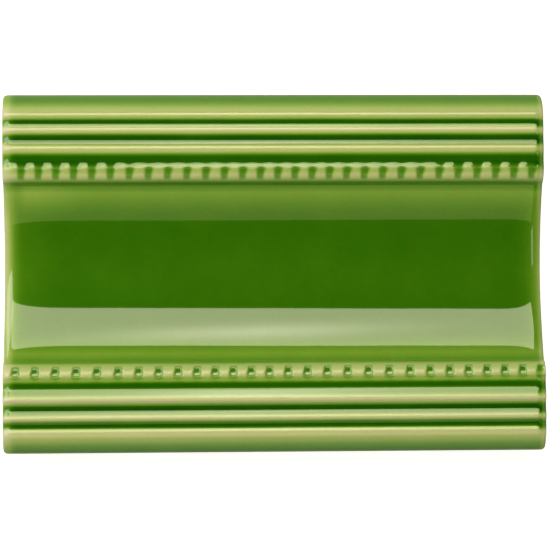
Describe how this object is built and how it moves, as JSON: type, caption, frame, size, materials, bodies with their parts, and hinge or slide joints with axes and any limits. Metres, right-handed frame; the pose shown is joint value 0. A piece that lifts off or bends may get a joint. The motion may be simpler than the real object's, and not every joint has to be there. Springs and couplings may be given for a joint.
{
  "type": "cornice trim tile",
  "caption": "Rectangular glazed ceramic cornice tile: a wide cove between two reeded edge bands, each with a round rim, two reeds and a bead course.",
  "frame": {"origin": "middle of the flat back, where the tile rests", "axes": "+X along the moulding, +Y across it towards its upper edge, +Z out of the face"},
  "size_m": [0.1524, 0.101, 0.018],
  "materials": {
    "green_glaze": "gloss"
  },
  "bodies": {
    "root": {"cornice_tile": "green_glaze"}
  },
  "joints": []
}
